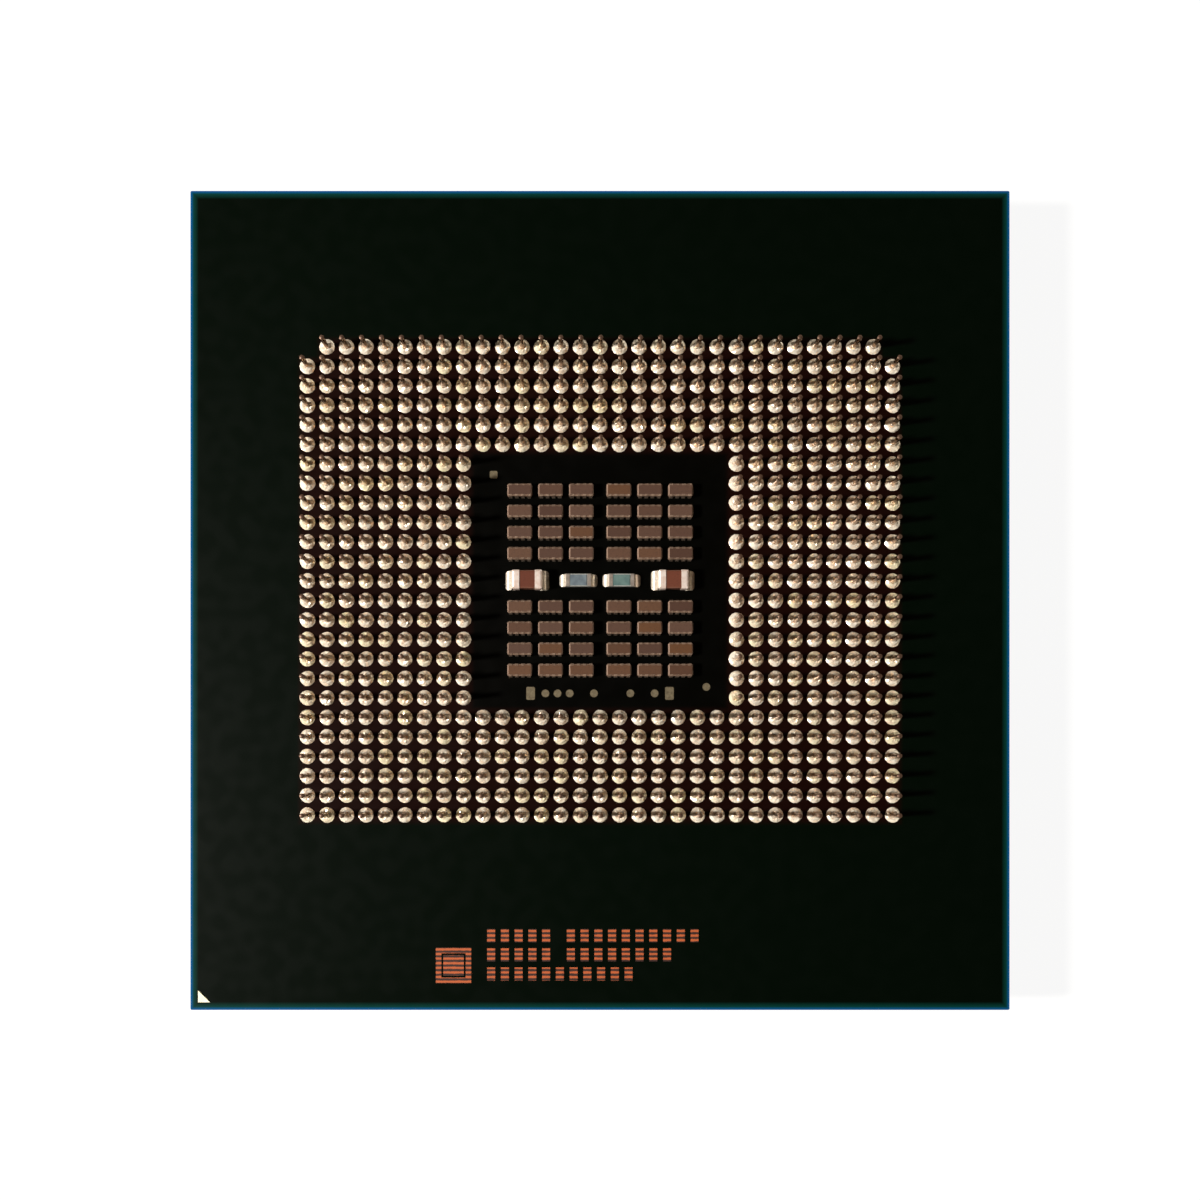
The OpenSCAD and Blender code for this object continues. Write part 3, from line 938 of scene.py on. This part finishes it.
@dataclass
class ArrayCapacitors:
    """The eight rows of small array capacitors with their wrapped terminals.

    Attributes:
        half_rows: Rows above the middle band, and as many below it.
        step: Spacing of the capacitors, along a row and from row to row.
        upper: Corner of a capacitor's cell in the rows above the band.
        lower: Corner of a capacitor's cell in the rows below it.
    """

    half_rows: int = 4
    step: Point = (2.0, 1.37)
    upper: Point = (0.0, 2.33)
    lower: Point = (0.0, -1.16)

    def names(self, part: str, first: int, last: int) -> list[str]:
        """Return the names of one kind of node in some rows."""
        return [f"capacitor_{part}_row_{n}" for n in range(first, last + 1)]

    def dress(self) -> None:
        """Give bodies, terminals and solder their finishes."""
        half, rows = self.half_rows, 2 * self.half_rows
        for label, start, first in (("upper", self.upper, 1), ("lower", self.lower, half + 1)):
            # The last colour is the painted highlight on the chamfered edges.
            colours = ("#452c20", "#573e31", "#5e3b1d", "#38241a", "#786050")
            ceramic = FiredCeramic(f"{label}_array_ceramic", *colours, step=self.step, start=start)
            wear(self.names("bodies", first, first + half - 1), ceramic)
        # Tin plate over nickel, barrel plated and oxidised in the oven: brownish, satin.
        tin = Metal(
            "array_terminal_tin", "#a38b79", "#6f594b",
            gloss=(0.36, 0.48), patch=0.2, ripple=0.1, depth=0.004, bare=0.4,
        )
        wear(self.names("terminals", 1, rows), tin)
        # Reflowed solder paste with flux on it: small dull fillets.
        solder = Metal(
            "array_solder", "#d6c3b0", "#8a7766",
            gloss=(0.25, 0.4), patch=0.2, ripple=0.12, depth=0.01, bare=0.8,
        )
        wear(self.names("solder", 1, rows), solder)


@dataclass
class MiddleBand:
    """The two bulk capacitors and the two chip resistors between the rows."""

    def pair(self, part: str) -> list[str]:
        """Return the names of one kind of node on both sides."""
        return [f"{part}_{side.value}" for side in Side]

    def dress(self) -> None:
        """Give the parts of both halves their finishes."""
        # The last colour is the painted highlight on the chamfered edges.
        colours = ("#57291b", "#693b2b", "#5f2d1d", "#45221a", "#6f4637")
        body = FiredCeramic("bulk_ceramic", *colours, step=(9.0, 9.0), start=(0.0, -3.0), rough=0.42)
        wear(self.pair("bulk_capacitor_body"), body)
        # Tin plate over nickel on a dipped silver end: thick, rounded and matt.
        tin = Metal(
            "end_tin", "#f1e3da", "#dec6b9",
            gloss=(0.34, 0.46), patch=0.35, ripple=0.18, depth=0.008, bare=0.3,
        )
        wear(self.pair("bulk_capacitor_end_caps"), tin)
        # The same plate on a printed silver wrap: thin, greyer and satin.
        wrap = Metal(
            "wrap_tin", "#c9bdb2", "#a5988e",
            gloss=(0.3, 0.4), patch=0.3, ripple=0.15, depth=0.006, bare=0.6,
        )
        wear(self.pair("resistor_terminals"), wrap)
        # Reflowed solder: bright hollow fillets.
        solder = Metal(
            "band_solder", "#ece2d4", "#c6b8a6",
            gloss=(0.24, 0.38), patch=0.3, ripple=0.25, depth=0.01, bare=0.5,
        )
        wear(["bulk_capacitor_solder", "resistor_solder"], solder)
        # Pressed alumina under a thin overglaze: greyish white, matt.
        alumina = Compound("alumina", "#aaaba6", "#989993", rough=0.6, cloud_width=0.2, depth=0.006)
        wear(self.pair("resistor_base"), alumina)
        # Printed and fired glass over the resistor film: smooth, each printed in its own batch.
        coats = {
            Side.LEFT: ("blue_grey_glass", "#5d6870", "#707c82"),
            Side.RIGHT: ("green_grey_glass", "#556c6a", "#637a76"),
        }
        for side, (name, base, cloud) in coats.items():
            glass = Compound(name, base, cloud, rough=0.3, cloud_width=0.4, depth=0.003)
            wear([f"resistor_coat_{side.value}"], glass)


@dataclass
class CoolingStack:
    """What lies on the board's other face: die, underfill, thermal layer, spreader and sealant."""

    def dress(self) -> None:
        """Give each layer its finish."""
        # Electroless nickel on stamped copper: grey, satin, with a faint grain.
        nickel = Metal(
            "nickel_plate", "#b8b5ad", "#b0ada5",
            gloss=(0.3, 0.36), patch=0.5, ripple=0.25, depth=0.0015,
        )
        wear(["heat_spreader"], nickel)
        # Black silicone adhesive, squeezed flat: matt.
        silicone = Compound("silicone_bead", "#0d0d0e", "#17171a", rough=0.62, cloud_width=0.8, depth=0.02)
        wear(["spreader_sealant"], silicone)
        # Silicon, ground on its back: dark grey, satin.
        silicon = Compound(
            "ground_silicon", "#3b3d43", "#484a52",
            rough=0.35, cloud_width=2.0, depth=0.002,
        )
        wear(["processor_die"], silicon)
        # Indium, melted between the die and the spreader: soft white metal.
        indium = Metal(
            "indium", "#c9c9cc", "#aaaab0",
            gloss=(0.35, 0.5), patch=1.2, ripple=0.5, depth=0.01,
        )
        wear(["thermal_interface"], indium)
        # Silica-filled epoxy: tan, satin.
        epoxy = Compound("underfill_epoxy", "#5a4a2c", "#6a5836", rough=0.45, cloud_width=0.7, depth=0.01)
        wear(["die_underfill"], epoxy)


@dataclass
class BurntMarks:
    """Plain hatched blocks in three rows and one framed square, burnt into the resist.

    Attributes:
        left: Left end of the rows.
        row_tops: Upper edge of each row.
        runs: Blocks in each run of each row.
        block: Width and height of a block.
        pitch: Spacing of the blocks.
        space: What is added to the spacing between two runs.
        square: Middle of the square.
        square_side: Its outer side.
        strip: Width of the square's frame.
        slit: Width of the slit inside the frame.
        thick: Thickness of the marks.
    """

    left: float = -7.35
    row_tops: tuple[float, ...] = (-21.4, -22.65, -23.9)
    runs: tuple[tuple[int, ...], ...] = ((5, 10), (5, 8), (11,))
    block: Point = (0.52, 0.86)
    pitch: float = 0.895
    space: float = 0.716
    square: Point = (-9.54, -23.77)
    square_side: float = 2.3
    strip: float = 0.36
    slit: float = 0.12
    thick: float = 0.01

    def add_block(self, mesh: bmesh.types.BMesh, centre: Point, size: Point) -> None:
        """Add one flat block.

        Args:
            mesh: The marks so far, in millimetres.
            centre: Middle of the block.
            size: Its width and height.
        """
        place = Matrix.Translation((centre[0], centre[1], GRID.face + self.thick / 2))
        scale = Matrix.Diagonal((size[0], size[1], self.thick, 1.0))
        bmesh.ops.create_cube(mesh, size=1.0, matrix=place @ scale)

    def add_square(self, mesh: bmesh.types.BMesh) -> None:
        """Add the framed square: four strips and a smaller square inside them.

        Args:
            mesh: The marks so far, in millimetres.
        """
        x, y = self.square
        side, strip = self.square_side, self.strip
        reach, inner = (side - strip) / 2, side - 2 * (strip + self.slit)
        for sign in (-1, 1):
            self.add_block(mesh, (x, y + sign * reach), (side, strip))
            self.add_block(mesh, (x + sign * reach, y), (strip, side - 2 * strip))
        self.add_block(mesh, (x, y), (inner, inner))

    def build(self) -> None:
        """Make all marks as one piece."""
        mesh = bmesh.new()
        for top, runs in zip(self.row_tops, self.runs, strict=True):
            x = self.left + self.block[0] / 2
            for run in runs:
                for _ in range(run):
                    self.add_block(mesh, (x, top - self.block[1] / 2), self.block)
                    x += self.pitch
                x += self.space
        self.add_square(mesh)
        bmesh.ops.scale(mesh, verts=mesh.verts[:], vec=(MM, MM, MM))
        new_piece("burnt_marks", mesh, LaserBurn("laser_burn"))


@dataclass
class Studio:
    """The white floor, the light from the left and the camera above.

    Attributes:
        camera_up: Height of the camera above the face.
        camera_y: How far the camera stands off the board's middle, along Y.
        view_side: Side of the square that the picture shows at the face.
        rise: Upward shift of the picture, as a share of its side.
        slide: Shift of the picture to the right, as a share of its side.
        sensor: Width of the camera's sensor.
        clip: Nearest and farthest distance that the camera sees.
        lamp_from: Direction from the board to the lamp.
        lamp_far: Distance of the lamp.
        lamp_wide: Diameter of the lamp.
        lamp_watts: Power of the lamp.
        lamp_colour: Colour of the lamp's light, a little warm.
        ceiling: Direction of the dark ceiling's middle. The walls reach a little higher on the right.
        wall_top: Heights, as the sine of the elevation, at which the walls start to fade and have faded.
        wall: Light of the walls.
        shade: Light of the ceiling.
        floor_half: Half the floor's side.
        paper: Share of light that the floor's paper throws back on the package.
        shown_paper: The same share where the floor is seen, which leaves the shadow faint.
        glow: White that is added where the floor is seen.
    """

    camera_up: float = 90.0
    camera_y: float = -11.5
    view_side: float = 78.15
    rise: float = 0.1475
    slide: float = 0.03
    sensor: float = 36.0
    clip: Point = (1.0, 10000.0)
    lamp_from: tuple[float, float, float] = (-0.771, -0.095, 0.629)
    lamp_far: float = 400.0
    lamp_wide: float = 50.0
    lamp_watts: float = 3.02
    lamp_colour: tuple[float, float, float] = (1.0, 0.96, 0.9)
    ceiling: tuple[float, float, float] = (-0.1, 0.0, 1.0)
    wall_top: Point = (0.08, 0.34)
    wall: Colour = (1.8, 1.65, 1.38, 1.0)
    shade: Colour = (0.03, 0.022, 0.016, 1.0)
    floor_half: float = 1600.0
    paper: float = 0.7
    shown_paper: float = 0.12
    glow: float = 0.92

    def lay_floor(self) -> None:
        """Lay a white floor that keeps a faint shadow."""
        mesh = bmesh.new()
        bmesh.ops.create_grid(mesh, x_segments=2, y_segments=2, size=self.floor_half * MM)
        data = bpy.data.meshes.new("floor")
        mesh.to_mesh(data)
        mesh.free()
        # Seamless white paper: matt, and lit until it is white, apart from the shadow.
        material = bpy.data.materials.new("white_paper")
        material.use_nodes = True
        tree = material.node_tree
        tree.nodes.clear()
        path = add_node(tree, "ShaderNodeLightPath").outputs
        seen = {0: path["Is Camera Ray"], 1: path["Is Glossy Ray"]}
        direct = add_node(tree, "ShaderNodeMath", seen, operation="MAXIMUM")
        through = {0: direct.outputs[0], 1: path["Is Transmission Ray"]}
        shown = add_node(tree, "ShaderNodeMath", through, operation="MAXIMUM")
        grey, dim = (self.paper,) * 3 + (1.0,), (self.shown_paper,) * 3 + (1.0,)
        paper = add_node(tree, "ShaderNodeBsdfDiffuse", {"Color": grey})
        pale = add_node(tree, "ShaderNodeBsdfDiffuse", {"Color": dim})
        glow = add_node(tree, "ShaderNodeEmission", {"Color": WHITE, "Strength": self.glow})
        bright = add_node(tree, "ShaderNodeAddShader", {0: pale.outputs[0], 1: glow.outputs[0]})
        kinds = {0: shown.outputs[0], 1: paper.outputs[0], 2: bright.outputs[0]}
        both = add_node(tree, "ShaderNodeMixShader", kinds)
        add_node(tree, "ShaderNodeOutputMaterial", {0: both.outputs[0]})
        data.materials.append(material)
        floor = bpy.data.objects.new("floor", data)
        bpy.context.scene.collection.objects.link(floor)

    def set_world(self) -> None:
        """Make a studio with low bright walls and a dark ceiling, which the camera sees as white."""
        world = bpy.data.worlds.new("studio")
        bpy.context.scene.world = world
        world.use_nodes = True
        tree = world.node_tree
        tree.nodes.clear()
        way = add_node(tree, "ShaderNodeTexCoord").outputs["Generated"]
        up = add_node(tree, "ShaderNodeVectorMath", {0: way, 1: self.ceiling}, operation="DOT_PRODUCT")
        low, high = self.wall_top
        fall = {"Value": up.outputs["Value"], "From Min": low, "From Max": high}
        dark = add_node(tree, "ShaderNodeMapRange", fall, interpolation_type="SMOOTHSTEP")
        room = tinted(tree, dark.outputs[0], self.wall, self.shade)
        seen = add_node(tree, "ShaderNodeLightPath").outputs["Is Camera Ray"]
        shown = tinted(tree, seen, room, WHITE)
        sky = add_node(tree, "ShaderNodeBackground", {"Color": shown, "Strength": 1.0})
        add_node(tree, "ShaderNodeOutputWorld", {0: sky.outputs[0]})

    def hang_lamp(self) -> None:
        """Hang the round lamp on the left."""
        data = bpy.data.lights.new("key", "AREA")
        data.shape = "DISK"
        data.size = self.lamp_wide * MM
        data.energy = self.lamp_watts
        data.color = self.lamp_colour
        lamp = bpy.data.objects.new("key", data)
        away = Vector(self.lamp_from).normalized()
        lamp.location = away * self.lamp_far * MM + Vector((0.0, 0.0, GRID.face * MM))
        lamp.rotation_mode = "QUATERNION"
        lamp.rotation_quaternion = away.to_track_quat("Z", "Y")
        bpy.context.scene.collection.objects.link(lamp)

    def set_camera(self) -> None:
        """Hang the camera over the board, looking straight down."""
        data = bpy.data.cameras.new("camera")
        data.sensor_width = self.sensor
        data.lens = self.sensor * self.camera_up / self.view_side
        data.shift_x, data.shift_y = self.slide, self.rise
        data.clip_start, data.clip_end = self.clip[0] * MM, self.clip[1] * MM
        camera = bpy.data.objects.new("camera", data)
        camera_x = -self.slide * self.view_side
        camera.location = (camera_x * MM, self.camera_y * MM, (GRID.face + self.camera_up) * MM)
        bpy.context.scene.collection.objects.link(camera)
        bpy.context.scene.camera = camera

    def build(self) -> None:
        """Set up the whole studio."""
        self.set_camera()
        self.lay_floor()
        self.set_world()
        self.hang_lamp()
        bpy.context.scene.view_settings.view_transform = "Standard"


def main() -> None:
    """Build the package and its studio."""
    logging.basicConfig(level=logging.INFO, format="%(message)s")
    Studio().build()
    Board().dress()
    PinField().dress()
    ArrayCapacitors().dress()
    MiddleBand().dress()
    CoolingStack().dress()
    BurntMarks().build()


if __name__ == "__main__":
    main()
